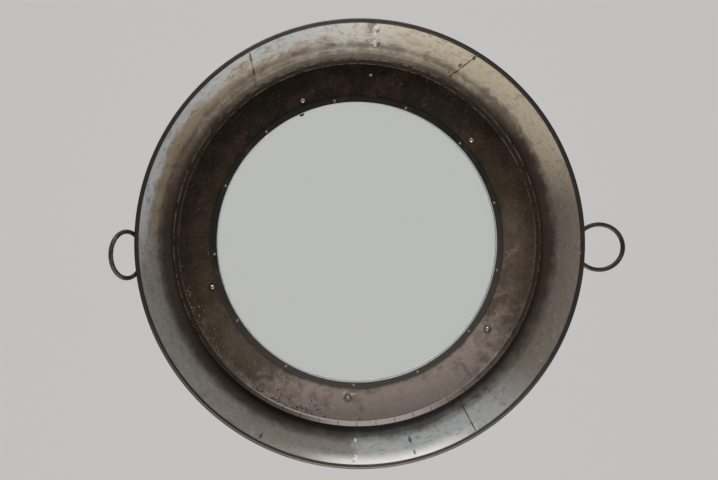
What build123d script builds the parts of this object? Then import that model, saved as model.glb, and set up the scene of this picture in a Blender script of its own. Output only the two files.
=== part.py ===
"""Round window made from an old riveted sheet-steel pan, with two ring handles.

Millimetres, +Z up. The window's axis lies along Y and the room looks at it from -Y.
The origin is on the axis, in the plane of the mounting ring's back face.
"""
from math import atan2, cos, degrees, radians, sin, tan

from build123d import *
import os

os.makedirs("parts", exist_ok=True)

# Pan
rim_diameter = 900.0
rim_wire_diameter = 5.0
curl_slack = 0.1
pan_depth = 102.0
wall_sheet = 1.5
wall_flare = 15.0
wall_bend = 26.0
hem_width = 19.0
hem_cover = 3.0
curl_turn = 290.0

# Base disc and its turned lip; the lip's edge stays lip_gap inside the wall's corner
base_sheet = 2.0
lip_gap = 22.85
lip_height = 8.7
lip_lean = 42.0
lip_bend = 3.0
crimp_count = 60
crimp_width = 1.2

# Lapped seams between the six wall panels: where each meets the rim, and how far it
# has turned by the time it reaches the base, in degrees seen from the room
seam_angles = [57.8, 119.6, 180.8, 242.8, 301.7, 357.4]
seam_slants = [4.4, 3.9, 4.4, 3.1, 2.1, 2.8]
seam_gap = 0.8
lap_inside = 8.0
lap_width = 14.0
joggle_width = 6.0
lap_clearance = 0.15
lap_stop = 9.0
lap_start = 1.5
lap_sweep = 16.0

# Rivets
rivet_shank = 4.0
rivet_head = 6.6
rivet_head_height = 1.9
rivet_hole_clearance = 0.1
rivet_seat = 0.2
foot_seat = 0.3
rivet_edge = 6.0
seam_rivet_depths = [15.0, 58.0]
foot_rivet_turn = 42.0
foot_rivet_inset = 20.0
mend_angles = [85.9, 268.6]
mend_depths = [[30.0, 78.0], [12.0, 27.0, 66.0, 79.0]]

# Ring handles and the straps that hold them
handle_wire = 8.8
handle_radius = 46.0
eye_depth = 31.0
eye_clearance = 0.3
strap_sheet = 2.0
strap_width = 14.0
strap_tail = 22.0
strap_rivet = 16.0
strap_seat = 0.15
left_drop = 21.0
right_drop = 7.0
left_swing = 64.0
right_swing = 10.0

# Glazing
base_width = 93.5
glazing_ring_width = 13.0
glazing_ring_sheet = 3.0
base_edge_cover = 4.5
glazing_screw_angles = [
    16.1, 43.8, 69.9, 99.0, 129.3, 156.7, 184.8, 213.2, 240.2, 268.7, 295.2, 321.6, 348.7,
]
glazing_screw_shank = 2.8
glazing_screw_head = 5.4
glazing_screw_length = 6.5
gasket_width = 6.5
front_gasket = 6.0
rear_gasket = 2.0
pane = 4.0
pane_gap = 8.0
glass_edge_cover = 15.0
spacer_inset = 1.0
spacer_width = 10.0
glass_play = 3.0
block_length = 60.0
block_angles = [240.0, 300.0]
block_clearance = 0.1

# Mounting ring and its screws
ring_depth = 38.0
hem_clearance = 0.2
hem_play = 1.0
ring_front_clearance = 0.35
rear_lip_cover = 8.0
ring_chamfer = 2.0
fixing_edges = [15.1, 10.7, 10.6, 21.3, 22.5]
fixing_angles = [41.7, 110.9, 197.3, 266.7, 326.4]
fixing_head = 9.8
fixing_head_height = 3.2
fixing_shank = 4.8
fixing_length = 30.0
fixing_clearance = 0.25
pilot_clearance = 0.05
top_screw_inset = 33.0
top_screw_angle = 85.2
top_screw_hole = 9.0
top_screw_head = 6.4

# Sizes that follow from the ones above
curl_radius = rim_wire_diameter / 2 + curl_slack + wall_sheet / 2
bead_radius = rim_diameter / 2 - curl_radius - wall_sheet / 2
bead_y = -pan_depth
hem_y = hem_clearance + wall_sheet / 2
glass_y = front_gasket
glazing_depth = front_gasket + pane + pane_gap + pane + rear_gasket
rivet_grip = 2 * wall_sheet + lap_clearance
around_axis = Axis((0, 0, 0), (0, -1, 0))

# Plane where the base bears on the mounting ring, facing the room
seat = Plane.XZ.offset(ring_depth)

# The wall's section: its sheet leaves the hem, bends and flares to the curled rim
flare_in = sin(radians(wall_flare))
flare_up = cos(radians(wall_flare))
rim_tangent = (bead_radius - curl_radius * flare_up, bead_y - curl_radius * flare_in)
wall_corner = rim_tangent[0] - (hem_y - rim_tangent[1]) * tan(radians(wall_flare))
lip_radius = wall_corner - lip_gap
mounting_radius = lip_radius
opening_radius = lip_radius - base_width
base_bore = opening_radius + base_edge_cover
glazing_screw_radius = opening_radius + glazing_ring_width / 2
glass_radius = opening_radius + glass_edge_cover
rabbet_radius = glass_radius + glass_play
fixing_places = [(glass_radius + edge, angle) for edge, angle in zip(fixing_edges, fixing_angles)]
hem_inner = lip_radius + hem_cover - hem_width
top_screw_radius = lip_radius - top_screw_inset


def radial_plane(angle):
    """Plane through the axis at an angle seen from the room: x is radius, y is depth from seat."""
    turn = radians(angle)
    return Plane(seat.origin, x_dir=(cos(turn), 0, sin(turn)), z_dir=(-sin(turn), 0, cos(turn)))


def wall_line(offset, start_radius, stop):
    """Points and bend radius of the wall's section, moved outwards by offset."""
    run = (hem_y + offset - rim_tangent[1] - offset * flare_in) / flare_up
    corner = (rim_tangent[0] + offset * flare_up - run * flare_in, hem_y + offset)
    top = (
        rim_tangent[0] + offset * flare_up - stop * flare_in,
        rim_tangent[1] + offset * flare_in + stop * flare_up,
    )
    return [(start_radius, hem_y + offset), corner, top], wall_bend + offset


def wall_place(angle, depth, offset):
    """Plane on the flared wall at a depth behind the rim, its z pointing at the room side."""
    run = depth / flare_up
    radius = rim_tangent[0] + offset * flare_up - run * flare_in
    y = rim_tangent[1] + offset * flare_in + run * flare_up
    section = radial_plane(angle)
    inward = section.x_dir * -flare_up + section.y_dir * -flare_in
    return Plane(section.from_local_coords((radius, y, 0)), x_dir=section.z_dir, z_dir=inward)


def foot_place(angle, turn, offset):
    """Plane on the wall's bend, turned so far from the hem, its z pointing at the room side."""
    centre_radius = wall_corner - wall_bend * tan(radians(90 - wall_flare) / 2)
    reach = wall_bend + offset
    radius = centre_radius + reach * sin(radians(turn))
    y = hem_y - wall_bend + reach * cos(radians(turn))
    section = radial_plane(angle)
    inward = section.x_dir * -sin(radians(turn)) + section.y_dir * -cos(radians(turn))
    return Plane(section.from_local_coords((radius, y, 0)), x_dir=section.z_dir, z_dir=inward)


def seam_angle(seam, radius):
    """Angle of a slanting seam where it crosses a radius."""
    share = (bead_radius - radius) / (bead_radius - lip_radius)
    return seam_angles[seam] + seam_slants[seam] * share


def seam_plane(seam, shift):
    """Cutting plane along a seam, moved anticlockwise by shift, its z pointing that way."""
    rim_turn = radians(seam_angles[seam])
    foot_turn = radians(seam_angles[seam] + seam_slants[seam])
    rim_point = Vector(bead_radius * cos(rim_turn), 0, bead_radius * sin(rim_turn))
    foot_point = Vector(lip_radius * cos(foot_turn), 0, lip_radius * sin(foot_turn))
    along = (rim_point - foot_point).normalized()
    ahead = Vector(-along.Z, 0, along.X)
    return Plane(rim_point + ahead * shift, x_dir=along, z_dir=ahead)


def seam_rivet_places(seam):
    """Places of a seam's rivets, on the face that the room sees."""
    places = []
    face = -wall_sheet / 2 - rivet_seat
    if seam not in handle_seams:
        for depth in seam_rivet_depths:
            radius = rim_tangent[0] - depth * tan(radians(wall_flare))
            angle = seam_angle(seam, radius) + degrees(rivet_edge / radius)
            places.append(wall_place(angle, depth, face))
    radius = lip_radius + foot_rivet_inset
    angle = seam_angle(seam, radius) + degrees(rivet_edge / radius)
    places.append(foot_place(angle, foot_rivet_turn, -wall_sheet / 2 - foot_seat))
    return places


def mend_places(side):
    """Places of the mending rivets at the top or the bottom of the pan."""
    face = -wall_sheet / 2 - rivet_seat
    return [wall_place(mend_angles[side], depth, face) for depth in mend_depths[side]]


# The straps sit on the seams nearest to nine and three o'clock
handle_seams = [2, 5]
lap_back = wall_sheet * 1.5 + lap_clearance
wire_radius = handle_wire / 2
eye_inner = wire_radius + eye_clearance + strap_width ** 2 / (8 * handle_radius)
eye_place = wall_place(0, eye_depth, lap_back + eye_inner + strap_seat)
eye_radius = eye_place.origin.X
eye_y = eye_place.origin.Y + ring_depth
left_angle = 180.0 + degrees(atan2(left_drop, eye_radius))
right_angle = -degrees(atan2(right_drop, eye_radius))


def strap_places(angle):
    """Places of a strap's two rivets, in front of and behind the eye."""
    face = -wall_sheet / 2 - rivet_seat
    depths = [eye_depth - strap_rivet * flare_up, eye_depth + strap_rivet * flare_up]
    return [wall_place(angle, depth, face) for depth in depths]


def handle_plane(angle, swing):
    """Plane of a ring handle, swung forwards about its eye by so many degrees."""
    section = radial_plane(angle)
    outward = section.x_dir * cos(radians(swing)) - section.y_dir * sin(radians(swing))
    eye = section.from_local_coords((eye_radius, eye_y, 0))
    return Plane(eye + outward * handle_radius, x_dir=outward, z_dir=section.z_dir.cross(outward))


# Base disc: the pan's old bottom, cut open for the glass, its edge turned up and crimped
with BuildPart() as base_disc:
    with BuildSketch(radial_plane(0)):
        with BuildLine():
            lip_foot = lip_radius - lip_height / tan(radians(lip_lean))
            FilletPolyline(
                (base_bore, -base_sheet / 2),
                (lip_foot, -base_sheet / 2),
                (lip_radius, -base_sheet / 2 - lip_height),
                radius=lip_bend,
            )
        trace(line_width=base_sheet)
    revolve(axis=around_axis)
    with BuildSketch(seat.offset(base_sheet + 1.0)):
        with PolarLocations((lip_foot + lip_radius) / 2 + 1.0, crimp_count):
            Rectangle(lip_radius - lip_foot, crimp_width)
    extrude(amount=lip_height + base_sheet, mode=Mode.SUBTRACT)
    with BuildSketch(seat):
        for angle in glazing_screw_angles:
            with PolarLocations(glazing_screw_radius, 1, angle):
                Circle(glazing_screw_shank / 2 + fixing_clearance / 2)
        for radius, angle in fixing_places:
            with PolarLocations(radius, 1, angle):
                Circle(fixing_shank / 2 + fixing_clearance)
        with PolarLocations(top_screw_radius, 1, top_screw_angle):
            Circle(top_screw_hole / 2)
    extrude(amount=base_sheet, mode=Mode.SUBTRACT)
base_disc.part.label = "base_disc"
export_step(base_disc.part, "parts/base_disc.step")

# Wall panels: each carries a joggled lap that reaches behind its neighbour
seam_total = len(seam_angles)
for seam in range(seam_total):
    after = (seam + 1) % seam_total
    start = seam_angles[seam]
    span = (seam_angles[after] - start) % 360
    lap_offset = wall_sheet + lap_clearance
    joggle_sheet = wall_sheet + lap_clearance + wall_sheet / 2

    with BuildPart() as lap:
        with BuildSketch(radial_plane(seam_angles[after] - lap_sweep / 2)):
            with BuildLine():
                points, bend = wall_line(lap_offset, mounting_radius + lap_start, lap_stop)
                FilletPolyline(*points, radius=bend)
            trace(line_width=wall_sheet)
        revolve(axis=around_axis, revolution_arc=lap_sweep)
        split(bisect_by=seam_plane(after, joggle_width - lap_inside), keep=Keep.TOP)
        split(bisect_by=seam_plane(after, lap_width), keep=Keep.BOTTOM)

    with BuildPart() as joggle:
        with BuildSketch(radial_plane(seam_angles[after] - lap_sweep / 2)):
            with BuildLine():
                inset = lap_offset + wall_sheet / 2 - joggle_sheet / 2
                points, bend = wall_line(inset, mounting_radius + lap_start, lap_stop)
                FilletPolyline(*points, radius=bend)
            trace(line_width=joggle_sheet)
        revolve(axis=around_axis, revolution_arc=lap_sweep)
        split(bisect_by=seam_plane(after, -lap_inside), keep=Keep.TOP)
        split(bisect_by=seam_plane(after, joggle_width - lap_inside), keep=Keep.BOTTOM)

    with BuildPart() as panel:
        with BuildSketch(radial_plane(start - 4)):
            with BuildLine():
                points, bend = wall_line(0, hem_inner, 0)
                FilletPolyline(*points, radius=bend)
                CenterArc((bead_radius, bead_y), curl_radius, 180 + wall_flare, curl_turn)
            trace(line_width=wall_sheet)
        revolve(axis=around_axis, revolution_arc=span + 12)
        split(bisect_by=seam_plane(seam, seam_gap / 2), keep=Keep.TOP)
        split(bisect_by=seam_plane(after, -seam_gap / 2), keep=Keep.BOTTOM)
        add(joggle.part)
        add(lap.part)
        holes = seam_rivet_places(seam) + seam_rivet_places(after)
        for side, angle in enumerate(mend_angles):
            if start < angle < start + span:
                holes += mend_places(side)
        if seam in handle_seams or after in handle_seams:
            handle_angle = left_angle if handle_seams[0] in (seam, after) else right_angle
            holes += strap_places(handle_angle)
        with Locations(*holes):
            Cylinder(rivet_shank / 2 + rivet_hole_clearance, 6 * rivet_grip, mode=Mode.SUBTRACT)
    name = f"wall_panel_{seam + 1}"
    panel.part.label = name
    export_step(panel.part, f"parts/{name}.step")

# Rim wire inside the curled edge
with BuildPart() as rim_wire:
    with BuildSketch(radial_plane(0)):
        with Locations((bead_radius, bead_y)):
            Circle(rim_wire_diameter / 2)
    revolve(axis=around_axis)
rim_wire.part.label = "rim_wire"
export_step(rim_wire.part, "parts/rim_wire.step")


def dome_radius(foot, height):
    """Radius of the sphere whose cap has a foot radius and a height."""
    return (foot ** 2 + height ** 2) / (2 * height)


def make_rivet(grip):
    """One rivet along Z: round head towards the room, shank of a grip, peened tail behind."""
    tail_y = -grip - rivet_seat
    tail_height = rivet_head_height * 0.8
    tail_end = tail_y - tail_height
    tail_radius = rivet_head / 2 - 0.4
    with BuildPart() as rivet:
        with BuildSketch(Plane.XZ):
            with BuildLine():
                Line((0, tail_end), (0, rivet_head_height))
                RadiusArc(
                    (0, rivet_head_height),
                    (rivet_head / 2, 0),
                    dome_radius(rivet_head / 2, rivet_head_height),
                )
                Polyline(
                    (rivet_head / 2, 0),
                    (rivet_shank / 2, 0),
                    (rivet_shank / 2, tail_y),
                    (tail_radius, tail_y),
                )
                RadiusArc(
                    (tail_radius, tail_y),
                    (0, tail_end),
                    dome_radius(tail_radius, tail_height),
                )
            make_face()
        revolve(axis=Axis.Z)
    return rivet.part


lap_rivet = make_rivet(rivet_grip + rivet_seat)
single_rivet = make_rivet(wall_sheet + rivet_seat)
long_rivet = make_rivet(rivet_grip + strap_seat + strap_sheet + rivet_seat)

with BuildPart() as seam_rivets:
    for seam in range(seam_total):
        with Locations(*seam_rivet_places(seam)):
            add(lap_rivet)
seam_rivets.part.label = "seam_rivets"
export_step(seam_rivets.part, "parts/seam_rivets.step")

with BuildPart() as mending_rivets:
    for side in range(len(mend_angles)):
        with Locations(*mend_places(side)):
            add(single_rivet)
mending_rivets.part.label = "mending_rivets"
export_step(mending_rivets.part, "parts/mending_rivets.step")

# Eye straps, their rivets and the ring handles
for name, angle, swing in (
    ("left", left_angle, left_swing),
    ("right", right_angle, right_swing),
):
    section = radial_plane(angle)
    strap_seat_place = wall_place(angle, eye_depth, lap_back)
    up_wall = section.x_dir * flare_in - section.y_dir * flare_up
    strap_plane = Plane(strap_seat_place.origin, x_dir=up_wall, z_dir=section.z_dir)
    arch = eye_inner + strap_sheet / 2
    tail_y = strap_seat + strap_sheet / 2
    with BuildPart() as strap:
        with BuildSketch(strap_plane):
            with BuildLine():
                FilletPolyline(
                    (-strap_tail, tail_y),
                    (-arch, tail_y),
                    (-arch, eye_inner + strap_seat),
                    radius=strap_sheet,
                )
                ThreePointArc(
                    (-arch, eye_inner + strap_seat),
                    (0, eye_inner + strap_seat + arch),
                    (arch, eye_inner + strap_seat),
                )
                FilletPolyline(
                    (arch, eye_inner + strap_seat),
                    (arch, tail_y),
                    (strap_tail, tail_y),
                    radius=strap_sheet,
                )
            trace(line_width=strap_sheet)
        extrude(amount=strap_width / 2, both=True)
        with Locations(*strap_places(angle)):
            Cylinder(
                rivet_shank / 2 + rivet_hole_clearance,
                6 * rivet_grip,
                mode=Mode.SUBTRACT,
            )
    strap.part.label = f"{name}_eye_strap"
    export_step(strap.part, f"parts/{name}_eye_strap.step")

    with BuildPart() as strap_rivets:
        with Locations(*strap_places(angle)):
            add(long_rivet)
    strap_rivets.part.label = f"{name}_strap_rivets"
    export_step(strap_rivets.part, f"parts/{name}_strap_rivets.step")

    with BuildPart() as ring_handle:
        with Locations(handle_plane(angle, swing)):
            Torus(handle_radius, wire_radius)
    ring_handle.part.label = f"{name}_ring_handle"
    export_step(ring_handle.part, f"parts/{name}_ring_handle.step")

# Glazing ring: flat steel ring that trims the cut edge of the base
with BuildPart() as glazing_ring:
    with BuildSketch(seat.offset(base_sheet)):
        Circle(opening_radius + glazing_ring_width)
        Circle(opening_radius, mode=Mode.SUBTRACT)
        for angle in glazing_screw_angles:
            with PolarLocations(glazing_screw_radius, 1, angle):
                Circle(glazing_screw_shank / 2 + fixing_clearance, mode=Mode.SUBTRACT)
    extrude(amount=glazing_ring_sheet)
    front_edges = glazing_ring.faces().sort_by(Axis.Y)[0].edges()
    chamfer(front_edges.filter_by(lambda edge: edge.radius > opening_radius / 2), 0.6)
glazing_ring.part.label = "glazing_ring"
export_step(glazing_ring.part, "parts/glazing_ring.step")

# Small slotted screws of the glazing ring
ring_face = base_sheet + glazing_ring_sheet
with BuildPart() as glazing_screw:
    Cylinder(
        glazing_screw_shank / 2,
        glazing_screw_length,
        align=(Align.CENTER, Align.CENTER, Align.MAX),
    )
    with BuildSketch():
        Circle(glazing_screw_head / 2)
    extrude(amount=1.6)
    fillet(glazing_screw.faces().sort_by(Axis.Z)[-1].edges(), 1.1)
    with Locations((0, 0, 1.6)):
        Box(0.7, glazing_screw_head, 1.4, mode=Mode.SUBTRACT)

with BuildPart() as glazing_screws:
    with Locations(seat.offset(ring_face)):
        for angle in glazing_screw_angles:
            with PolarLocations(glazing_screw_radius, 1, angle):
                add(glazing_screw.part)
glazing_screws.part.label = "glazing_screws"
export_step(glazing_screws.part, "parts/glazing_screws.step")

# Five screws that fix the base to the mounting ring
with BuildPart() as fixing_screw:
    with BuildSketch(Plane.XZ):
        with BuildLine():
            Polyline(
                (0, fixing_head_height),
                (0, -fixing_length),
                (fixing_shank / 2, -fixing_length + fixing_shank),
                (fixing_shank / 2, 0),
                (fixing_head / 2, 0),
                (fixing_head / 2, fixing_head_height * 0.25),
            )
            RadiusArc(
                (0, fixing_head_height),
                (fixing_head / 2, fixing_head_height * 0.25),
                dome_radius(fixing_head / 2, fixing_head_height * 0.75),
            )
        make_face()
    revolve(axis=Axis.Z)
    with Locations((0, 0, fixing_head_height)):
        Box(1.2, fixing_head / 2, fixing_head_height, mode=Mode.SUBTRACT)
        Box(fixing_head / 2, 1.2, fixing_head_height, mode=Mode.SUBTRACT)

with BuildPart() as fixing_screws:
    with Locations(seat.offset(base_sheet)):
        for radius, angle in fixing_places:
            with PolarLocations(radius, 1, angle):
                add(fixing_screw.part)
fixing_screws.part.label = "fixing_screws"
export_step(fixing_screws.part, "parts/fixing_screws.step")

# A lone screw seen in an old handle hole near the top of the base
with BuildPart() as top_screw:
    with Locations(seat):
        with PolarLocations(top_screw_radius, 1, top_screw_angle):
            Cylinder(
                fixing_shank / 2,
                fixing_length,
                align=(Align.CENTER, Align.CENTER, Align.MAX),
            )
            Cylinder(
                top_screw_head / 2,
                base_sheet * 0.8,
                align=(Align.CENTER, Align.CENTER, Align.MIN),
            )
    chamfer(top_screw.faces().sort_by(Axis.Y)[0].edges(), 0.5)
top_screw.part.label = "top_screw"
export_step(top_screw.part, "parts/top_screw.step")

# Glazing behind the base: gasket, sealed double pane, gasket
with BuildPart() as front_gasket_ring:
    with BuildSketch(seat):
        Circle(glass_radius)
        Circle(glass_radius - gasket_width, mode=Mode.SUBTRACT)
    extrude(amount=-front_gasket)
front_gasket_ring.part.label = "front_gasket"
export_step(front_gasket_ring.part, "parts/front_gasket.step")

for name, pane_y in (("inner_pane", glass_y), ("outer_pane", glass_y + pane + pane_gap)):
    with BuildPart() as glass_pane:
        with BuildSketch(seat.offset(-pane_y)):
            Circle(glass_radius)
        extrude(amount=-pane)
    glass_pane.part.label = name
    export_step(glass_pane.part, f"parts/{name}.step")

with BuildPart() as spacer_bar:
    with BuildSketch(seat.offset(-glass_y - pane)):
        Circle(opening_radius + spacer_inset + spacer_width)
        Circle(opening_radius + spacer_inset, mode=Mode.SUBTRACT)
    extrude(amount=-pane_gap)
spacer_bar.part.label = "spacer_bar"
export_step(spacer_bar.part, "parts/spacer_bar.step")

with BuildPart() as edge_seal:
    with BuildSketch(seat.offset(-glass_y - pane)):
        Circle(glass_radius)
        Circle(opening_radius + spacer_inset + spacer_width, mode=Mode.SUBTRACT)
    extrude(amount=-pane_gap)
edge_seal.part.label = "edge_seal"
export_step(edge_seal.part, "parts/edge_seal.step")

with BuildPart() as rear_gasket_ring:
    with BuildSketch(seat.offset(rear_gasket - glazing_depth)):
        Circle(glass_radius)
        Circle(glass_radius - gasket_width, mode=Mode.SUBTRACT)
    extrude(amount=-rear_gasket)
rear_gasket_ring.part.label = "rear_gasket"
export_step(rear_gasket_ring.part, "parts/rear_gasket.step")

with BuildPart() as setting_blocks:
    block_turn = degrees(block_length / glass_radius)
    for angle in block_angles:
        with BuildSketch(radial_plane(angle - block_turn / 2)):
            with Locations((glass_radius + block_clearance, glass_y)):
                Rectangle(
                    glass_play - 2 * block_clearance,
                    2 * pane + pane_gap,
                    align=(Align.MIN, Align.MIN),
                )
        revolve(axis=around_axis, revolution_arc=block_turn)
setting_blocks.part.label = "setting_blocks"
export_step(setting_blocks.part, "parts/setting_blocks.step")

# Mounting ring: rabbeted wooden ring that carries glass and pan in the wall's round hole
with BuildPart() as mounting_ring:
    with BuildSketch(radial_plane(0)):
        with BuildLine():
            rebate_y = 2 * hem_clearance + wall_sheet
            outer_start = hem_y + lap_back + ring_front_clearance
            rear_lip = opening_radius + rear_lip_cover
            Polyline(
                (rabbet_radius, 0),
                (hem_inner - hem_play, 0),
                (hem_inner - hem_play, rebate_y),
                (mounting_radius - outer_start + rebate_y, rebate_y),
                (mounting_radius, outer_start),
                (mounting_radius, ring_depth),
                (rear_lip + ring_chamfer, ring_depth),
                (rear_lip, ring_depth - ring_chamfer),
                (rear_lip, glazing_depth),
                (rabbet_radius, glazing_depth),
                close=True,
            )
        make_face()
    revolve(axis=around_axis)
    with BuildSketch(seat):
        for radius, angle in fixing_places:
            with PolarLocations(radius, 1, angle):
                Circle(fixing_shank / 2 + pilot_clearance)
        with PolarLocations(top_screw_radius, 1, top_screw_angle):
            Circle(fixing_shank / 2 + pilot_clearance)
    extrude(amount=-fixing_length - 1.0, mode=Mode.SUBTRACT)
mounting_ring.part.label = "mounting_ring"
export_step(mounting_ring.part, "parts/mounting_ring.step")

print("eye axis", round(eye_radius, 3), round(eye_y - ring_depth, 3), left_angle, right_angle)
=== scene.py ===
import math
import random

import bpy
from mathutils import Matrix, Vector


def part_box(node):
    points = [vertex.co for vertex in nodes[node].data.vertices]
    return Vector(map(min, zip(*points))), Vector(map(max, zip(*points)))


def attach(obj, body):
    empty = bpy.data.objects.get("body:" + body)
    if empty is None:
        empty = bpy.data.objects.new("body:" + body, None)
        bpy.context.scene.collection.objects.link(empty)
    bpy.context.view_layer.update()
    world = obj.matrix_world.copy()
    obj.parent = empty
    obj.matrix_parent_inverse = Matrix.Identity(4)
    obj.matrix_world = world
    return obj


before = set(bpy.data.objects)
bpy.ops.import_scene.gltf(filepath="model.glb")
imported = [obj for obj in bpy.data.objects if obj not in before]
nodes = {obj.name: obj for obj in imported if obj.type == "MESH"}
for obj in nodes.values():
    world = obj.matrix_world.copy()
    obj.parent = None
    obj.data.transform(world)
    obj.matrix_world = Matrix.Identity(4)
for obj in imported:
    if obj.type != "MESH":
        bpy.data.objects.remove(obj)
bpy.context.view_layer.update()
bpy.ops.object.select_all(action="DESELECT")

# Camera: it stands in front of the window, square to it, a little left of its axis and
# above it. The picture was cropped off centre, which the lens shift repeats.
camera_place = (-0.082, -1.5335, 0.046)
bpy.ops.object.camera_add(location=camera_place, rotation=(math.radians(90), 0, 0))
camera = bpy.context.object
camera.data.lens = 35.0
camera.data.shift_x = 0.0564
camera.data.shift_y = -0.0270
bpy.context.scene.camera = camera

# Plain studio: a pale floor that sweeps up into a backdrop far behind the window, so that
# the part can be looked at from behind as well.
floor_height = -1.7
sweep_back = 3.4
sweep_bend = 1.2
sweep_depth = 9.0
sweep_widening = 2.4
sweep_rise = 7.0
found_within = 0.1
plane_place = (0, sweep_back - sweep_depth / 2, floor_height)
bpy.ops.mesh.primitive_plane_add(size=sweep_depth, location=plane_place)
sweep = bpy.context.object
sweep.name = "studio_sweep"
bpy.ops.object.mode_set(mode="EDIT")
bpy.ops.transform.resize(value=(sweep_widening, 1, 1))
bpy.ops.mesh.select_all(action="DESELECT")
bpy.ops.object.mode_set(mode="OBJECT")
for edge in sweep.data.edges:
    ends = [sweep.matrix_world @ sweep.data.vertices[v].co for v in edge.vertices]
    edge.select = all(end.y > sweep_back - found_within for end in ends)
bpy.ops.object.mode_set(mode="EDIT")
bpy.ops.mesh.select_mode(type="EDGE")
bpy.ops.mesh.extrude_region_move(TRANSFORM_OT_translate={"value": (0, 0, sweep_rise)})
bpy.ops.object.mode_set(mode="OBJECT")
bpy.ops.object.transform_apply(location=True, rotation=True, scale=True)
for edge in sweep.data.edges:
    ends = [sweep.data.vertices[v].co for v in edge.vertices]
    at_back = all(abs(end.y - sweep_back) < found_within for end in ends)
    at_floor = all(abs(end.z - floor_height) < found_within for end in ends)
    edge.select = at_back and at_floor
bpy.ops.object.mode_set(mode="EDIT")
bpy.ops.mesh.bevel(offset=sweep_bend, segments=24)
bpy.ops.object.mode_set(mode="OBJECT")
bpy.ops.object.shade_smooth()
sweep_paint = bpy.data.materials.new("studio_paint")
sweep_paint.use_nodes = True
paint_nodes = sweep_paint.node_tree.nodes
paint_links = sweep_paint.node_tree.links
paint_colour = (0.60, 0.59, 0.575, 1)
glow_share = 0.85
paint_nodes["Principled BSDF"].inputs["Base Color"].default_value = paint_colour
paint_nodes["Principled BSDF"].inputs["Roughness"].default_value = 0.9
paint_nodes["Principled BSDF"].inputs["Specular IOR Level"].default_value = 0.1
glow = paint_nodes.new("ShaderNodeEmission")
glow.inputs["Color"].default_value = paint_colour
ray = paint_nodes.new("ShaderNodeLightPath")
seen = paint_nodes.new("ShaderNodeMath")
seen.operation = "MAXIMUM"
seen_through = paint_nodes.new("ShaderNodeMath")
seen_through.operation = "MAXIMUM"
part_glow = paint_nodes.new("ShaderNodeMath")
part_glow.operation = "MULTIPLY"
part_glow.inputs[1].default_value = glow_share
paint_mix = paint_nodes.new("ShaderNodeMixShader")
paint_links.new(ray.outputs["Is Camera Ray"], seen.inputs[0])
paint_links.new(ray.outputs["Is Glossy Ray"], seen.inputs[1])
paint_links.new(seen.outputs[0], seen_through.inputs[0])
paint_links.new(ray.outputs["Is Transmission Ray"], seen_through.inputs[1])
paint_links.new(seen_through.outputs[0], part_glow.inputs[0])
paint_links.new(part_glow.outputs[0], paint_mix.inputs[0])
paint_links.new(paint_nodes["Principled BSDF"].outputs[0], paint_mix.inputs[1])
paint_links.new(glow.outputs[0], paint_mix.inputs[2])
paint_links.new(paint_mix.outputs[0], paint_nodes["Material Output"].inputs["Surface"])
sweep.data.materials.append(sweep_paint)


def soft_lamp(name, place, target, size, power, colour):
    """A square soft box that shines from a place towards a target."""
    bpy.ops.object.light_add(type="AREA", location=place)
    lamp = bpy.context.object
    lamp.name = name
    lamp.data.size = size
    lamp.data.energy = power
    lamp.data.color = colour
    lamp.visible_camera = False
    lamp.rotation_euler = (Vector(target) - Vector(place)).to_track_quat("-Z", "Y").to_euler()


soft_lamp(
    name="top_lamp",
    place=(-0.25, -0.85, 1.55),
    target=(0, -0.05, -0.4),
    size=1.1,
    power=30,
    colour=(1.0, 0.985, 0.96),
)
soft_lamp(
    name="low_lamp",
    place=(0.15, -0.75, -1.45),
    target=(0, -0.05, 0.4),
    size=1.1,
    power=26,
    colour=(1.0, 0.975, 0.94),
)
sky_colour = (0.93, 0.95, 1.0, 1)
sky_strength = 0.30
studio = bpy.data.worlds.new("studio")
bpy.context.scene.world = studio
studio.use_nodes = True
studio.node_tree.nodes["Background"].inputs["Color"].default_value = sky_colour
studio.node_tree.nodes["Background"].inputs["Strength"].default_value = sky_strength
bpy.context.scene.view_settings.view_transform = "Standard"


# Mounting ring: a rabbeted ring of thick plywood behind the base. It carries the glass in
# its rabbet and takes the fixing screws.
def add_node(finish, kind, sockets, **settings):
    """Adds a shader node to a finish; a socket takes a value or another node's output."""
    made = finish.node_tree.nodes.new("ShaderNode" + kind)
    for setting, value in settings.items():
        setattr(made, setting, value)
    for socket, value in sockets.items():
        if isinstance(value, bpy.types.NodeSocket):
            finish.node_tree.links.new(value, made.inputs[socket])
        else:
            made.inputs[socket].default_value = value
    return made


def new_finish(name):
    """A new finish with its shader ready."""
    made = bpy.data.materials.new(name)
    made.use_nodes = True
    return made


def on_shader(finish, **sockets):
    """Sets or links the shader's own sockets, spaces in their names written as underlines."""
    shader = finish.node_tree.nodes["Principled BSDF"]
    for socket, value in sockets.items():
        name = socket.replace("_", " ")
        if isinstance(value, bpy.types.NodeSocket):
            finish.node_tree.links.new(value, shader.inputs[name])
        else:
            shader.inputs[name].default_value = value


def position(finish, stretch=(1, 1, 1)):
    """The point on the piece, stretched along the part's axes."""
    spot = add_node(finish, "TexCoord", {}).outputs["Object"]
    return add_node(finish, "Mapping", {"Vector": spot, "Scale": stretch}).outputs[0]


def mottle(finish, scale, detail=5.0, roughness=0.55, stretch=(1, 1, 1), warp=0.0):
    """Cloudy noise from 0 to 1, scale in clouds for each metre."""
    sockets = {
        "Vector": position(finish, stretch),
        "Scale": scale,
        "Detail": detail,
        "Roughness": roughness,
        "Distortion": warp,
    }
    return add_node(finish, "TexNoise", sockets).outputs["Fac"]


def calc(finish, operation, first, second=0.0):
    """One sum on two values."""
    return add_node(finish, "Math", {0: first, 1: second}, operation=operation).outputs[0]


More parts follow.
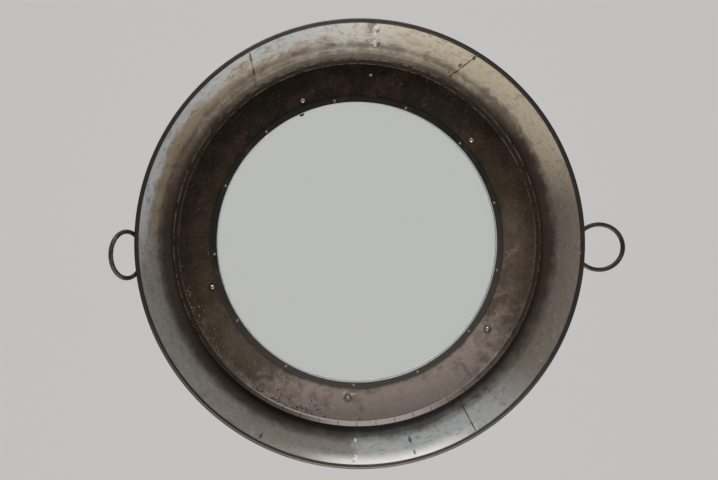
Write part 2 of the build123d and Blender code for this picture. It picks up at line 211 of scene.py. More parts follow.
def ease(finish, value, low, high, start=0.0, end=1.0):
    """Eases from start to end while a value goes from low to high."""
    sockets = {"Value": value, 1: low, 2: high, 3: start, 4: end}
    return add_node(finish, "MapRange", sockets, interpolation_type="SMOOTHSTEP").outputs[0]


def mix(finish, share, first, second, mode="MIX"):
    """Mixes two colours by a share."""
    sockets = {0: share, 6: first, 7: second}
    return add_node(finish, "Mix", sockets, data_type="RGBA", blend_type=mode).outputs[2]


def bump(finish, height, depth, under=None):
    """Raises the surface by a height, depth in metres at most."""
    sockets = {"Height": height, "Distance": depth, "Strength": 1.0}
    if under is not None:
        sockets["Normal"] = under
    return add_node(finish, "Bump", sockets).outputs[0]


def dress(name, finish):
    """Gives a finish to a CAD node."""
    for slot in nodes[name].material_slots:
        slot.material = finish


ring_wood = new_finish("ring_plywood")
wood_pale = (0.47, 0.33, 0.19, 1)
wood_dark = (0.28, 0.17, 0.085, 1)
ply_lines = add_node(
    ring_wood,
    "TexWave",
    {"Vector": position(ring_wood), "Scale": 95.0, "Distortion": 0.6, "Detail": 2.0},
    bands_direction="Y",
).outputs["Fac"]
wood_grain = mottle(ring_wood, 22, stretch=(1, 1, 9))
wood_shade = mix(ring_wood, ease(ring_wood, wood_grain, 0.35, 0.7), wood_pale, wood_dark)
wood_shade = mix(ring_wood, calc(ring_wood, "MULTIPLY", ply_lines, 0.25), wood_shade, wood_dark)
on_shader(
    ring_wood,
    Base_Color=wood_shade,
    Roughness=ease(ring_wood, wood_grain, 0.3, 0.7, 0.5, 0.75),
    Normal=bump(ring_wood, wood_grain, 0.0004),
)
dress("mounting_ring", ring_wood)


# Double glazing: two panes of float glass round an aluminium spacer with a black edge
# seal. It stands on two plastic blocks between foam gaskets.
glass = new_finish("float_glass")
clear = add_node(glass, "BsdfTransparent", {"Color": (0.96, 0.98, 0.97, 1)})
clear_or_glass = add_node(
    glass,
    "MixShader",
    {
        0: add_node(glass, "LightPath", {}).outputs["Is Shadow Ray"],
        1: glass.node_tree.nodes["Principled BSDF"].outputs[0],
        2: clear.outputs[0],
    },
)
glass.node_tree.links.new(
    clear_or_glass.outputs[0],
    glass.node_tree.nodes["Material Output"].inputs["Surface"],
)
on_shader(
    glass,
    Base_Color=(0.975, 0.99, 0.985, 1),
    Transmission_Weight=1.0,
    Roughness=ease(glass, mottle(glass, 9), 0.45, 0.8, 0.0, 0.02),
    IOR=1.5,
)
dress("inner_pane", glass)
dress("outer_pane", glass)

spacer_metal = new_finish("mill_aluminium")
on_shader(
    spacer_metal,
    Base_Color=mix(
        spacer_metal,
        mottle(spacer_metal, 260),
        (0.62, 0.63, 0.62, 1),
        (0.74, 0.75, 0.74, 1),
    ),
    Metallic=0.6,
    Roughness=ease(spacer_metal, mottle(spacer_metal, 90), 0.3, 0.7, 0.28, 0.45),
)
dress("spacer_bar", spacer_metal)

black_foam = new_finish("black_foam")
foam_cells = mottle(black_foam, 900, detail=3)
on_shader(
    black_foam,
    Base_Color=mix(black_foam, foam_cells, (0.012, 0.012, 0.012, 1), (0.035, 0.034, 0.032, 1)),
    Roughness=0.85,
    Normal=bump(black_foam, foam_cells, 0.0003),
)
for name in ("front_gasket", "rear_gasket", "edge_seal", "setting_blocks"):
    dress(name, black_foam)


# Base: the pan's old bottom, one steel sheet gone dark brown with rust and oil, its cut
# edge trimmed for the glass and its outer edge turned up into a crimped lip.
def axis_radius(finish):
    """Distance from the window's axis."""
    flat = {0: position(finish, (1, 0, 1))}
    return add_node(finish, "VectorMath", flat, operation="LENGTH").outputs["Value"]


def towards(finish, angle):
    """From 1 in the direction of an angle seen from the front to -1 opposite."""
    turn = math.radians(angle)
    sockets = {0: position(finish), 1: (math.cos(turn), 0, math.sin(turn))}
    along = add_node(finish, "VectorMath", sockets, operation="DOT_PRODUCT").outputs["Value"]
    return calc(finish, "DIVIDE", along, axis_radius(finish))


def on_side(finish, share, angle, low, high, start=0.0, end=1.0):
    """Fades a share round the window, as the side looked at turns towards an angle."""
    fade = ease(finish, towards(finish, angle), low, high, start, end)
    return calc(finish, "MULTIPLY", share, fade)


def depth_of(finish):
    """Place along the window's axis, rising towards the back."""
    return add_node(finish, "SeparateXYZ", {0: position(finish)}).outputs[1]


def shades(finish, value, stops):
    """A run of shades along a value, each stop its place and colour."""
    ramp = add_node(finish, "ValToRGB", {0: value})
    band = ramp.color_ramp
    band.elements[0].position, band.elements[0].color = stops[0]
    band.elements[1].position, band.elements[1].color = stops[-1]
    for place, colour in stops[1:-1]:
        band.elements.new(place).color = colour
    return ramp.outputs[0]


def on_base(radius, angle):
    """A point on the base's face at a radius and an angle seen from the front."""
    turn = math.radians(angle)
    return Vector((radius * math.cos(turn), base_face, radius * math.sin(turn)))


def away_from(finish, spot, flat=False):
    """Distance from a spot; flat leaves the depth of both out."""
    place = position(finish, (1, 0, 1) if flat else (1, 1, 1))
    sockets = {0: place, 1: spot}
    return add_node(finish, "VectorMath", sockets, operation="DISTANCE").outputs["Value"]


base_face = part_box("glazing_ring")[1].y
lip_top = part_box("base_disc")[0].y
lip_foot = 0.3817
trim_edge = (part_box("glazing_ring")[1].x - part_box("glazing_ring")[0].x) / 2
fixing_spots = [(0.3286, 41.7), (0.3242, 110.9), (0.3241, 197.3), (0.3348, 266.7), (0.3360, 326.4)]
base_steel = new_finish("base_brown_steel")
soot = (0.0112, 0.0072, 0.0042, 1)
umber = (0.0215, 0.0140, 0.0085, 1)
bark = (0.043, 0.0292, 0.0180, 1)
clay = (0.088, 0.067, 0.051, 1)
taupe = (0.285, 0.236, 0.205, 1)
dusty = (0.22, 0.185, 0.150, 1)
rust = (0.072, 0.032, 0.017, 1)
lip_highlight_tone = (0.22, 0.162, 0.128, 1)
lit_lip_mauve = (0.37, 0.325, 0.312, 1)

# Base: painted shade and light, dark at the top and lighter at the bottom, over its own tone
# clouded all over
base_light_and_tone = calc(base_steel, "MULTIPLY_ADD", towards(base_steel, 290), 0.5)
base_light_and_tone.node.inputs[2].default_value = 0.5
broad = mottle(base_steel, 9, detail=6)
blotch = mottle(base_steel, 24, detail=8, roughness=0.68, warp=0.7)
patch = mottle(base_steel, 60, detail=7, roughness=0.65, warp=0.4)
speck = mottle(base_steel, 210, detail=4, roughness=0.7)
base_light_and_tone = calc(base_steel, "ADD", base_light_and_tone, ease(base_steel, broad, 0.3, 0.7, -0.07, 0.07))
base_light_and_tone = calc(base_steel, "ADD", base_light_and_tone, ease(base_steel, blotch, 0.34, 0.66, -0.065, 0.065))
base_light_and_tone = calc(base_steel, "ADD", base_light_and_tone, ease(base_steel, patch, 0.35, 0.65, 0.045, -0.055))
# Painted shade: the base darker towards its outer edge at the top and the sides
edge_shade = ease(base_steel, axis_radius(base_steel), 0.335, 0.378, 0.0, 0.22)
edge_shade = on_side(base_steel, edge_shade, 270, 0.0, 0.7, 1.0, 0.0)
base_light_and_tone = calc(base_steel, "SUBTRACT", base_light_and_tone, edge_shade)
# Painted light: the base lighter next to the lip at the bottom
lit_edge = ease(base_steel, axis_radius(base_steel), 0.366, 0.379, 0.0, 0.16)
lit_edge = on_side(base_steel, lit_edge, 258, 0.6, 0.95)
base_light_and_tone = calc(base_steel, "ADD", base_light_and_tone, lit_edge)
# Painted shadow: a dark band just outside the glazing ring's outer edge
trim_shadow = ease(
    base_steel,
    axis_radius(base_steel),
    trim_edge + 0.0005,
    trim_edge + 0.0055,
    0.16,
    0.0,
)
base_light_and_tone = calc(base_steel, "SUBTRACT", base_light_and_tone, trim_shadow)
base_shade = shades(
    base_steel,
    base_light_and_tone,
    [(0.0, soot), (0.22, umber), (0.48, bark), (0.74, clay), (0.97, taupe)],
)
red_share = ease(base_steel, mottle(base_steel, 17, detail=6, warp=0.5), 0.50, 0.66, 0.0, 0.30)
red_share = on_side(base_steel, red_share, 100, -0.7, 0.3)
base_shade = mix(base_steel, red_share, base_shade, rust)

# Grit and specks, and a dark ring round each fixing screw
grit = mottle(base_steel, 480, detail=3, roughness=0.6)
grit_light = ease(base_steel, grit, 0.56, 0.70, 0.0, 0.34)
grit_light = on_side(base_steel, grit_light, 285, -0.3, 0.8, 0.10, 1.0)
base_shade = mix(
    base_steel,
    ease(base_steel, speck, 0.56, 0.74, 0.0, 0.24),
    base_shade,
    dusty,
    "SCREEN",
)
base_shade = mix(base_steel, grit_light, base_shade, dusty, "SCREEN")
base_shade = mix(base_steel, ease(base_steel, grit, 0.44, 0.30, 0.0, 0.45), base_shade, soot)
base_shade = mix(base_steel, ease(base_steel, speck, 0.28, 0.38, 0.6, 0.0), base_shade, soot)
halo = 0.0
for radius, angle in fixing_spots:
    away = away_from(base_steel, on_base(radius, angle))
    halo = calc(base_steel, "MAXIMUM", ease(base_steel, away, 0.0060, 0.0115, 0.9, 0.0), halo)
halo = calc(base_steel, "MULTIPLY", halo, ease(base_steel, patch, 0.40, 0.58, 0.25, 0.9))
base_shade = mix(base_steel, halo, base_shade, soot)

# Lip: brown, with two thin painted highlights along its fold and its edge, and painted light that
# makes it pale at the bottom
# The lip's face darkened, partly its own brown and partly painted shade, least at the lit bottom
lip_face_shade = ease(base_steel, axis_radius(base_steel), lip_foot + 0.0012, lip_foot + 0.0024, 0.0, 0.8)
lip_face_shade = on_side(base_steel, lip_face_shade, 85, -1.0, -0.6, 0.4, 1.0)
base_shade = mix(base_steel, lip_face_shade, base_shade, umber)
foot_off = calc(
    base_steel,
    "ABSOLUTE",
    calc(base_steel, "SUBTRACT", axis_radius(base_steel), lip_foot),
)
edge_off = calc(base_steel, "SUBTRACT", depth_of(base_steel), lip_top)
# Painted highlights: thin bright lines along the lip's fold and its top edge
highlight_share = ease(base_steel, patch, 0.40, 0.60, 0.0, 1.0)
highlight_share = on_side(base_steel, highlight_share, 60, -0.2, 0.7, 0.45, 1.0)
highlight_share = on_side(base_steel, highlight_share, 350, 0.80, 0.97, 1.0, 0.4)
edge_highlight_strength = ease(base_steel, towards(base_steel, 35), 0.75, 0.95, 0.95, 0.45)
lip_highlights = calc(
    base_steel,
    "MAXIMUM",
    ease(base_steel, foot_off, 0.0005, 0.0012, 0.65, 0.0),
    ease(base_steel, edge_off, 0.0012, 0.0022, edge_highlight_strength, 0.0),
)
base_shade = mix(
    base_steel,
    calc(base_steel, "MULTIPLY", lip_highlights, highlight_share),
    base_shade,
    lip_highlight_tone,
)
# Painted light: the lip pale mauve at the bottom, where the light falls on it
lip_lit_bottom = ease(base_steel, axis_radius(base_steel), lip_foot + 0.0004, lip_foot + 0.0014, 0.0, 0.9)
lip_lit_bottom = calc(base_steel, "MULTIPLY", lip_lit_bottom, ease(base_steel, patch, 0.35, 0.55, 0.6, 1.0))
lip_lit_bottom = on_side(base_steel, lip_lit_bottom, 267, 0.80, 0.98)
base_shade = mix(base_steel, lip_lit_bottom, base_shade, lit_lip_mauve)
# A dark line along the fold at the bottom
fold_dark = ease(base_steel, foot_off, 0.0003, 0.0010, 0.55, 0.0)
fold_dark = on_side(base_steel, fold_dark, 268, 0.60, 0.92)
base_shade = mix(base_steel, fold_dark, base_shade, umber)
# Painted shadow under the lip's outer edge at the lower left
lip_edge_shadow = ease(base_steel, axis_radius(base_steel), lip_foot + 0.0026, lip_foot + 0.0044, 0.0, 0.8)
lip_edge_shadow = on_side(base_steel, lip_edge_shadow, 234, 0.84, 0.98)
base_shade = mix(base_steel, lip_edge_shadow, base_shade, umber)
on_shader(
    base_steel,
    Base_Color=base_shade,
    Metallic=0.2,
    Specular_IOR_Level=0.13,
    Roughness=ease(base_steel, patch, 0.3, 0.7, 0.46, 0.70),
    Normal=bump(
        base_steel,
        speck,
        0.0004,
        bump(base_steel, patch, 0.0012, bump(base_steel, blotch, 0.0016)),
    ),
)
dress("base_disc", base_steel)


# Rust scabs and old spatter that stand on the base: thickest along the lip at the lower
# left, a row along the bottom, the odd one elsewhere. Each is a rough flattened pebble.
pebble_height = 0.45
pebble_roughness = 0.18


def pebbles(name, places, finish):
    """One piece of flattened rough pebbles, each with its place and half width."""
    bpy.ops.object.select_all(action="DESELECT")
    bpy.ops.mesh.primitive_ico_sphere_add(subdivisions=1, radius=0.001, location=places[0][0])
    piece = bpy.context.object
    piece.name = name
    bpy.ops.object.transform_apply(location=True, rotation=True, scale=True)
    bpy.ops.object.mode_set(mode="EDIT")
    bpy.ops.mesh.select_all(action="SELECT")
    bpy.ops.mesh.delete(type="VERT")
    for number, (place, half) in enumerate(places):
        bpy.ops.mesh.primitive_ico_sphere_add(subdivisions=1, radius=half, location=place)
        long_way = random.uniform(0.8, 1.5)
        bpy.ops.transform.resize(
            value=(long_way, pebble_height, 1 / long_way),
            center_override=place,
        )
        bpy.ops.transform.vertex_random(offset=half * pebble_roughness, seed=number)
        bpy.ops.transform.rotate(
            value=random.uniform(0, 3.1),
            orient_axis="Y",
            center_override=place,
        )
    bpy.ops.mesh.select_all(action="SELECT")
    bpy.ops.mesh.normals_make_consistent(inside=False)
    bpy.ops.object.mode_set(mode="OBJECT")
    bpy.ops.object.shade_smooth()
    piece.data.materials.clear()
    piece.data.materials.append(finish)
    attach(piece, "window")


random.seed(41)
scab_rust = new_finish("rust_scab")
scab_grain = mottle(scab_rust, 420, detail=4, roughness=0.7)
on_shader(
    scab_rust,
    Base_Color=mix(
        scab_rust,
        ease(scab_rust, scab_grain, 0.42, 0.62),
        (0.034, 0.018, 0.011, 1),
        (0.25, 0.168, 0.128, 1),
    ),
    Metallic=0.1,
    Roughness=0.72,
    Normal=bump(scab_rust, scab_grain, 0.0004),
)
scab_total = 240
scab_middle = 228
scab_scatter = 15
scab_outer = 0.3825
scab_reach = 0.03
scab_crowding = 140
stray_total = 110
stray_inner = 0.317
stray_outer = 0.380
scab_places = []
for _ in range(scab_total):
    angle = random.gauss(scab_middle, scab_scatter)
    inset = min(random.expovariate(scab_crowding), scab_reach)
    half = random.uniform(0.0008, 0.0027)
    scab_places.append((on_base(scab_outer - inset, angle), half))
for _ in range(stray_total):
    radius = random.uniform(stray_inner, stray_outer)
    angle = random.uniform(0, 360)
    half = random.uniform(0.0005, 0.0013)
    scab_places.append((on_base(radius, angle), half))
pebbles("rust_scabs", scab_places, scab_rust)

pale_spatter = new_finish("pale_spatter")
spatter_grain = mottle(pale_spatter, 500, detail=4)
on_shader(
    pale_spatter,
    Base_Color=mix(
        pale_spatter,
        ease(pale_spatter, spatter_grain, 0.4, 0.65),
        (0.28, 0.235, 0.195, 1),
        (0.66, 0.61, 0.54, 1),
    ),
    Metallic=0.1,
    Roughness=0.6,
    Normal=bump(pale_spatter, spatter_grain, 0.0003),
)
row_total = 34
row_start = 249.0
row_sweep = 14.5
row_radius = 0.371
row_inset = 0.016
row_scatter = 0.0025
screw_blobs = [
    (0.3230, 265.2, 0.0032),
    (0.3255, 268.2, 0.0046),
    (0.3290, 265.0, 0.0026),
    (0.3250, 269.4, 0.0030),
]
spatter_places = []
for _ in range(row_total):
    share = random.random()
    radius = row_radius - row_inset * share + random.gauss(0, row_scatter)
    half = random.uniform(0.0005, 0.0013)
    spatter_places.append((on_base(radius, row_start + row_sweep * share), half))
for radius, angle, half in screw_blobs:
    spatter_places.append((on_base(radius, angle), half))
pebbles("solder_spatter", spatter_places, pale_spatter)


# Pan wall: six flared panels of bare steel, worn grey near the rim and stained brown
# towards the base. Each carries part of the curled edge that is closed round a wire.
def seam_line(finish, rim_angle, slant):
    """Distance from a slanting seam, given by its angle at the rim and its turn to the foot."""
    rim_turn = math.radians(rim_angle)
    foot_turn = math.radians(rim_angle + slant)
    rim_end = Vector((math.cos(rim_turn), 0, math.sin(rim_turn))) * seam_rim
    foot_end = Vector((math.cos(foot_turn), 0, math.sin(foot_turn))) * seam_foot
    along = (rim_end - foot_end).normalized()
    across = Vector((-along.z, 0, along.x))
    sockets = {0: position(finish), 1: across}
    off = add_node(finish, "VectorMath", sockets, operation="DOT_PRODUCT").outputs["Value"]
    off = calc(finish, "ABSOLUTE", calc(finish, "SUBTRACT", off, rim_end.dot(across)))
    return calc(finish, "ADD", off, ease(finish, towards(finish, rim_angle), 0.8, 0.9, 1.0, 0.0))


seam_rim = 0.4457
seam_foot = 0.3920
dirty_seams = [(57.8, 4.4), (119.6, 3.9), (301.7, 2.1)]
scratched_seams = [(180.8, 4.4), (242.8, 3.1), (357.4, 2.8)]
foot_shadow = 0.4070
wall_steel = new_finish("wall_worn_steel")
rim_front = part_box("wall_panel_1")[0].y
pale_steel = (0.70, 0.665, 0.61, 1)
side_taupe = (0.205, 0.176, 0.146, 1)
tan_stain = (0.62, 0.525, 0.37, 1)
tan_brown = (0.34, 0.27, 0.185, 1)
blue_steel = (0.41, 0.435, 0.445, 1)
pale_blue = (0.54, 0.565, 0.58, 1)
bright_steel = (0.86, 0.85, 0.83, 1)
brown_stain = (0.105, 0.070, 0.046, 1)
red_stain = (0.20, 0.085, 0.045, 1)
foot_dark = (0.026, 0.0150, 0.009, 1)
foot_red = (0.026, 0.0115, 0.0060, 1)
foot_fill_pale = (0.74, 0.635, 0.51, 1)
spot_dark = (0.035, 0.023, 0.016, 1)
curl_brown = (0.016, 0.012, 0.0085, 1)
curl_highlight_pink = (0.20, 0.145, 0.122, 1)

# Ground: from taupe at the sides to pale steel at the top and blue steel at the bottom, partly
# the steel's own tones and partly painted light, lighter where the lamps fall at the top and
# bottom and darker at the sides; with a pale blue band, tan and brown that lie in turn from
# the rim inwards
inwards = calc(
    wall_steel,
    "DIVIDE",
    calc(wall_steel, "SUBTRACT", depth_of(wall_steel), rim_front),
    lip_top - rim_front,
)
wall_cloud = mottle(wall_steel, 12, detail=7, roughness=0.62)
wall_blotch = mottle(wall_steel, 30, detail=8, roughness=0.7, warp=0.6)
wall_patch = mottle(wall_steel, 70, detail=7, roughness=0.68, warp=0.4)
wall_speck = mottle(wall_steel, 230, detail=4, roughness=0.7)
stain_line = calc(wall_steel, "ADD", inwards, ease(wall_steel, wall_cloud, 0.3, 0.7, -0.14, 0.14))
stain_line = calc(
    wall_steel,
    "ADD",
    stain_line,
    ease(wall_steel, wall_blotch, 0.35, 0.65, -0.16, 0.16),
)
upper = ease(wall_steel, towards(wall_steel, 85), 0.25, 0.95)
lower = ease(wall_steel, towards(wall_steel, 283), 0.72, 0.98, 0.0, 0.95)
mend_side = calc(
    wall_steel,
    "ADD",
    towards(wall_steel, 359.2),
    ease(wall_steel, wall_blotch, 0.35, 0.65, -0.02, 0.02),
)
lower = calc(wall_steel, "MULTIPLY", lower, ease(wall_steel, mend_side, -0.035, 0.03, 0.22, 1.0))
left = ease(wall_steel, towards(wall_steel, 205), 0.4, 0.95)
wall_shade = mix(wall_steel, upper, side_taupe, pale_steel)
wall_shade = mix(wall_steel, lower, wall_shade, blue_steel)
wall_shade = mix(
    wall_steel,
    ease(wall_steel, towards(wall_steel, 50), 0.75, 1.0, 0.0, 0.75),
    wall_shade,
    tan_stain,
)
wall_shade = mix(
    wall_steel,
    ease(wall_steel, towards(wall_steel, 200), 0.55, 1.0, 0.0, 0.25),
    wall_shade,
    blue_steel,
)
rim_band = ease(wall_steel, stain_line, 0.20, 0.60, 0.85, 0.0)
rim_band = on_side(wall_steel, rim_band, 138, 0.60, 0.90)
wall_shade = mix(wall_steel, rim_band, wall_shade, pale_blue)
tan_share = ease(wall_steel, stain_line, 0.34, 0.70, 0.0, 0.85)
tan_share = on_side(wall_steel, tan_share, 142, 0.62, 0.92)
wall_shade = mix(wall_steel, tan_share, wall_shade, tan_brown)
upper_stain = ease(wall_steel, stain_line, 0.70, 1.12, 0.0, 0.60)
upper_stain = on_side(wall_steel, upper_stain, 105, -0.3, 0.7)
wall_shade = mix(wall_steel, upper_stain, wall_shade, brown_stain)

# Clouds of stain all over: where each cloud starts and is full, how strong and its shade
stain_clouds = [
    (wall_blotch, 0.50, 0.74, 0.45, brown_stain),
    (wall_patch, 0.50, 0.70, 0.50, brown_stain),
    (wall_patch, 0.44, 0.26, 0.22, bright_steel),
    (wall_speck, 0.62, 0.74, 0.45, spot_dark),
]
for cloud, low, high, strength, shade in stain_clouds:
    share = ease(wall_steel, cloud, low, high, 0.0, strength)
    wall_shade = mix(wall_steel, share, wall_shade, shade)

# Painted highlight: a bright strip along the rim at the bottom; and the red spot at the top
rim_highlight = ease(wall_steel, inwards, 0.10, 0.46, 0.95, 0.0)
rim_highlight = on_side(wall_steel, rim_highlight, 271, 0.83, 0.97)
rim_highlight = on_side(wall_steel, rim_highlight, 352, -0.17, 0.10, 0.12, 1.0)
wall_shade = mix(wall_steel, rim_highlight, wall_shade, bright_steel)
red_away = away_from(wall_steel, (0.0267, 0, 0.4385), flat=True)
red_away = calc(wall_steel, "ADD", red_away, ease(wall_steel, wall_patch, 0.3, 0.7, -0.008, 0.008))
wall_shade = mix(
    wall_steel,
    ease(wall_steel, red_away, 0.004, 0.013, 0.65, 0.0),
    wall_shade,
    red_stain,
)

# Foot: stained nearly black by the base, partly a real stain and partly painted shade of the
# groove behind the lip; least at the top, where painted light puts pale steel in the lip's shadow
foot_line = calc(wall_steel, "ADD", inwards, ease(wall_steel, wall_blotch, 0.35, 0.65, -0.03, 0.03))
foot_line = calc(wall_steel, "ADD", foot_line, calc(wall_steel, "MULTIPLY", left, 0.05))
foot_stain_and_shade = ease(wall_steel, foot_line, 0.76, 1.12, 0.0, 1.0)
foot_stain_and_shade = on_side(wall_steel, foot_stain_and_shade, 102, 0.28, 0.90, 1.0, 0.20)
# Painted light: the deepest part of the foot lifted a little at the lower right
foot_shade_lift = ease(wall_steel, towards(wall_steel, 298), 0.50, 0.92, 0.0, 0.13)
foot_shade_lift = calc(wall_steel, "MULTIPLY", foot_shade_lift, ease(wall_steel, inwards, 1.02, 1.08))
foot_stain_and_shade = calc(wall_steel, "SUBTRACT", foot_stain_and_shade, foot_shade_lift)
wall_shade = mix(wall_steel, foot_stain_and_shade, wall_shade, foot_dark)
foot_core = ease(wall_steel, foot_line, 0.93, 1.05, 0.0, 0.75)
foot_core = on_side(wall_steel, foot_core, 5, 0.80, 0.97)
wall_shade = mix(wall_steel, foot_core, wall_shade, foot_red)
# Painted light: pale steel painted into the lip's shadow on the foot at the top
foot_fill_light = ease(
    wall_steel,
    axis_radius(wall_steel),
    foot_shadow - 0.0015,
    foot_shadow + 0.0015,
    0.58,
    0.0,
)
foot_fill_light = on_side(wall_steel, foot_fill_light, 101, 0.76, 0.97)
foot_fill_light = calc(
    wall_steel,
    "MULTIPLY",
    foot_fill_light,
    ease(wall_steel, wall_patch, 0.36, 0.58, 1.0, 0.72),
)
wall_shade = mix(wall_steel, foot_fill_light, wall_shade, foot_fill_pale)
# Painted shade: brown that dims the lit part of the bend at the top
bend_shade = calc(
    wall_steel,
    "MULTIPLY",
    ease(wall_steel, axis_radius(wall_steel), foot_shadow, foot_shadow + 0.0030, 0.0, 0.45),
    ease(wall_steel, axis_radius(wall_steel), 0.4150, 0.4240, 1.0, 0.0),
)
bend_shade = on_side(wall_steel, bend_shade, 94, 0.75, 0.95)
wall_shade = mix(wall_steel, bend_shade, wall_shade, brown_stain)

# Seams: three hold dirt and three are scratched bright
dirty = 1.0
for rim_angle, slant in dirty_seams:
    dirty = calc(wall_steel, "MINIMUM", seam_line(wall_steel, rim_angle, slant), dirty)
dirty = calc(wall_steel, "ADD", dirty, ease(wall_steel, wall_blotch, 0.35, 0.65, 0.0009, -0.0006))
wall_shade = mix(
    wall_steel,
    ease(wall_steel, dirty, 0.0007, 0.0021, 0.85, 0.0),
    wall_shade,
    spot_dark,
)
scratched = 1.0
for rim_angle, slant in scratched_seams:
    scratched = calc(wall_steel, "MINIMUM", seam_line(wall_steel, rim_angle, slant), scratched)
scratch = calc(
    wall_steel,
    "MULTIPLY",
    ease(wall_steel, scratched, 0.0008, 0.0014, 0.18, 0.0),
    ease(wall_steel, wall_patch, 0.40, 0.55, 0.3, 1.0),
)
scratch = calc(wall_steel, "MULTIPLY", scratch, ease(wall_steel, inwards, 0.70, 0.86, 1.0, 0.1))
wall_shade = mix(wall_steel, scratch, wall_shade, bright_steel)

# Single marks at the mends and the seams: radius, angle, half width and shade
wall_spots = [
    (0.4350, 85.5, 0.0066, bright_steel),
    (0.4338, 85.6, 0.0017, spot_dark),
    (0.4338, 85.1, 0.0022, spot_dark),
    (0.4337, 84.6, 0.0018, spot_dark),
    (0.4228, 85.3, 0.0030, bright_steel),
    (0.4195, 84.9, 0.0032, bright_steel),
    (0.4205, 83.9, 0.0032, spot_dark),
    (0.4190, 269.5, 0.0030, bright_steel),
    (0.4366, 269.1, 0.0046, bright_steel),
    (0.4400, 269.8, 0.0032, bright_steel),
    (0.4250, 284.8, 0.0044, spot_dark),
    (0.4370, 284.9, 0.0030, spot_dark),
    (0.4370, 243.0, 0.0034, spot_dark),
    (0.4260, 60.1, 0.0034, spot_dark),
    (0.4380, 58.1, 0.0026, spot_dark),
]
for radius, angle, half, shade in wall_spots:
    turn = math.radians(angle)
    spot = (radius * math.cos(turn), 0, radius * math.sin(turn))
    away = away_from(wall_steel, spot, flat=True)
    away = calc(wall_steel, "ADD", away, ease(wall_steel, wall_speck, 0.3, 0.7, -0.0015, 0.0015))
    wall_shade = mix(
        wall_steel,
        ease(wall_steel, away, half * 0.5, half, 0.85, 0.0),
        wall_shade,
        shade,
    )

# Curled rim: brown all round its wire, with a thin pink painted highlight along the bottom
wire_radius = 0.0025
bead_radius = (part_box("rim_wire")[1].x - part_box("rim_wire")[0].x) / 2 - wire_radius
bead_depth = (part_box("rim_wire")[1].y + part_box("rim_wire")[0].y) / 2
bead_out = calc(wall_steel, "SUBTRACT", axis_radius(wall_steel), bead_radius)
bead_back = calc(wall_steel, "SUBTRACT", depth_of(wall_steel), bead_depth)
from_bead = calc(
    wall_steel,
    "SQRT",
    calc(
        wall_steel,
        "ADD",
        calc(wall_steel, "POWER", bead_out, 2.0),
        calc(wall_steel, "POWER", bead_back, 2.0),
    ),
)
bead_highlight = calc(wall_steel, "ABSOLUTE", calc(wall_steel, "ADD", bead_out, 0.0002))
bead_highlight = ease(wall_steel, bead_highlight, 0.0005, 0.0013, 1.0, 0.0)
bead_highlight = on_side(wall_steel, bead_highlight, 262, 0.3, 0.9)
curl_shade = mix(wall_steel, bead_highlight, curl_brown, curl_highlight_pink)
wall_shade = mix(
    wall_steel,
    ease(wall_steel, from_bead, 0.0042, 0.0052, 1.0, 0.0),
    wall_shade,
    curl_shade,
)
on_shader(
    wall_steel,
    Base_Color=wall_shade,
    Metallic=0.3,
    Roughness=calc(
        wall_steel,
        "MAXIMUM",
        ease(wall_steel, wall_patch, 0.3, 0.7, 0.38, 0.6),
        ease(wall_steel, foot_stain_and_shade, 0.2, 0.8, 0.3, 0.8),
    ),
    Normal=bump(
        wall_steel,
        wall_speck,
        0.0002,
        bump(wall_steel, wall_patch, 0.0006, bump(wall_steel, wall_cloud, 0.002)),
    ),
)
for number in range(1, 7):
    dress(f"wall_panel_{number}", wall_steel)
dress("rim_wire", wall_steel)
dress("seam_rivets", wall_steel)


# Rivets: soft steel, closed cold. The seam rivets are as worn as the wall, those of the
# straps are brown, and the later mending rivets at the top and bottom are still bright.
rivet_steel = new_finish("rivet_steel")
rivet_cloud = mottle(rivet_steel, 320, detail=4)
on_shader(
    rivet_steel,
    Base_Color=mix(
        rivet_steel,
        ease(rivet_steel, rivet_cloud, 0.4, 0.62),
        (0.05, 0.036, 0.027, 1),
        (0.26, 0.22, 0.18, 1),
    ),
    Metallic=0.4,
    Roughness=0.5,
    Normal=bump(rivet_steel, rivet_cloud, 0.0003),
)
for name in ("left_strap_rivets", "right_strap_rivets"):
    dress(name, rivet_steel)

bright_rivet = new_finish("bright_rivet")
bright_cloud = mottle(bright_rivet, 420, detail=4)
on_shader(
    bright_rivet,
    Base_Color=mix(
        bright_rivet,
        ease(bright_rivet, bright_cloud, 0.42, 0.60),
        (0.24, 0.205, 0.175, 1),
        (0.80, 0.77, 0.72, 1),
    ),
    Metallic=0.4,
    Roughness=0.45,
    Normal=bump(bright_rivet, bright_cloud, 0.0003),
)
dress("mending_rivets", bright_rivet)


# Ring handles and their saddle straps: forged iron, nearly black with a touch of rust.
# Each ring is closed through the eye of its strap and swings in it.
ring_iron = new_finish("forged_iron")
iron_cloud = mottle(ring_iron, 60, detail=6)
iron_fine = mottle(ring_iron, 420, detail=3)
on_shader(
    ring_iron,
    Base_Color=mix(
        ring_iron,
        ease(ring_iron, iron_cloud, 0.4, 0.7),
        (0.016, 0.0145, 0.0125, 1),
        (0.07, 0.055, 0.042, 1),
    ),
    Metallic=0.5,
    Roughness=ease(ring_iron, iron_fine, 0.3, 0.7, 0.38, 0.6),
    Normal=bump(ring_iron, iron_fine, 0.0003, bump(ring_iron, iron_cloud, 0.001)),
)
for side in ("left", "right"):
    dress(f"{side}_ring_handle", ring_iron)
    dress(f"{side}_eye_strap", ring_iron)


# Glazing ring: flat steel, cut to a ring and painted dark grey green, with painted shade that
# darkens it at the top, a painted highlight along its bore and a pinkish painted highlight on
# its outer edge along the bottom. Thirteen small slotted screws hold it.
ring_width = 0.0130
ring_bore = trim_edge - ring_width
ring_paint = new_finish("glazing_ring_paint")
ring_cloud = mottle(ring_paint, 35, detail=6)
ring_speck = mottle(ring_paint, 380, detail=3)
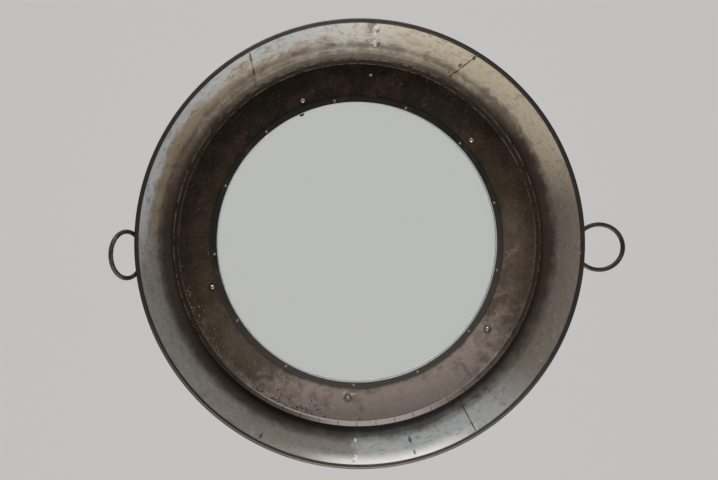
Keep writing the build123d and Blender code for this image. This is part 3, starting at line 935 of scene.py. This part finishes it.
# Painted shade: the paint darker at the top and lighter towards the bottom
ring_shade = mix(
    ring_paint,
    ease(ring_paint, towards(ring_paint, 290), -0.4, 1.0),
    (0.0095, 0.010, 0.0078, 1),
    (0.052, 0.050, 0.048, 1),
)
ring_shade = mix(
    ring_paint,
    ease(ring_paint, ring_cloud, 0.5, 0.75, 0.0, 0.5),
    ring_shade,
    (0.055, 0.048, 0.036, 1),
)
# Painted highlight: a pale line along the ring's bore
bore_highlight = ease(
    ring_paint,
    axis_radius(ring_paint),
    ring_bore + 0.0004,
    ring_bore + 0.0010,
    0.8,
    0.0,
)
ring_shade = mix(ring_paint, bore_highlight, ring_shade, (0.62, 0.61, 0.58, 1))
# Painted highlight: a pinkish line on the ring's outer edge along the bottom
outer_edge_highlight = ease(
    ring_paint,
    axis_radius(ring_paint),
    trim_edge - 0.0012,
    trim_edge - 0.0004,
    0.0,
    0.45,
)
outer_edge_highlight = on_side(ring_paint, outer_edge_highlight, 250, 0.0, 0.8)
ring_shade = mix(ring_paint, outer_edge_highlight, ring_shade, (0.26, 0.17, 0.135, 1))
on_shader(
    ring_paint,
    Base_Color=ring_shade,
    Metallic=0.3,
    Specular_IOR_Level=0.3,
    Roughness=ease(ring_paint, ring_speck, 0.3, 0.7, 0.34, 0.55),
    Normal=bump(ring_paint, ring_speck, 0.0002),
)
dress("glazing_ring", ring_paint)


# Tape scrap: a bit of black sealing tape stuck to the front of the glass, with part of it
# behind the glazing ring and part in the open.
tape_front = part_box("inner_pane")[0].y
tape_sheet = 0.0008
tape_half = 0.0068
tape_radius = 0.3012
tape_angle = 113.3
bpy.ops.object.select_all(action="DESELECT")
bpy.ops.mesh.primitive_cylinder_add(
    vertices=28,
    radius=tape_half,
    depth=tape_sheet,
    end_fill_type="TRIFAN",
)
tape = bpy.context.object
tape.name = "tape_scrap"
bpy.ops.object.mode_set(mode="EDIT")
bpy.ops.transform.rotate(value=math.radians(90), orient_axis="X")
bpy.ops.transform.vertex_random(offset=0.0002, seed=5)
bpy.ops.transform.translate(value=(0, tape_front - tape_sheet, tape_radius))
tape_turn = math.radians(tape_angle - 90)
bpy.ops.transform.rotate(value=tape_turn, orient_axis="Y", center_override=(0, 0, 0))
bpy.ops.object.mode_set(mode="OBJECT")
tape.data.materials.append(black_foam)
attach(tape, "window")


# Screws: zinc-plated steel, dulled with age, small ones in the glazing ring and larger ones
# in the base. The one near the top sits in an old hole, bright in its middle, dark round it.
screw_zinc = new_finish("screw_zinc")
zinc_cloud = mottle(screw_zinc, 500, detail=3)
on_shader(
    screw_zinc,
    Base_Color=mix(
        screw_zinc,
        ease(screw_zinc, zinc_cloud, 0.35, 0.65),
        (0.46, 0.44, 0.40, 1),
        (0.17, 0.155, 0.135, 1),
    ),
    Metallic=0.85,
    Roughness=ease(screw_zinc, zinc_cloud, 0.3, 0.7, 0.25, 0.5),
)
for name in ("glazing_screws", "fixing_screws"):
    dress(name, screw_zinc)

old_screw = new_finish("old_screw")
screw_middle = (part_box("top_screw")[0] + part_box("top_screw")[1]) / 2
bright_spot = (screw_middle.x - 0.0002, 0, screw_middle.z - 0.0004)
from_middle = away_from(old_screw, bright_spot, flat=True)
on_shader(
    old_screw,
    Base_Color=mix(
        old_screw,
        ease(old_screw, from_middle, 0.0014, 0.0028),
        (0.62, 0.60, 0.55, 1),
        (0.016, 0.016, 0.012, 1),
    ),
    Metallic=0.5,
    Roughness=0.45,
)
dress("top_screw", old_screw)
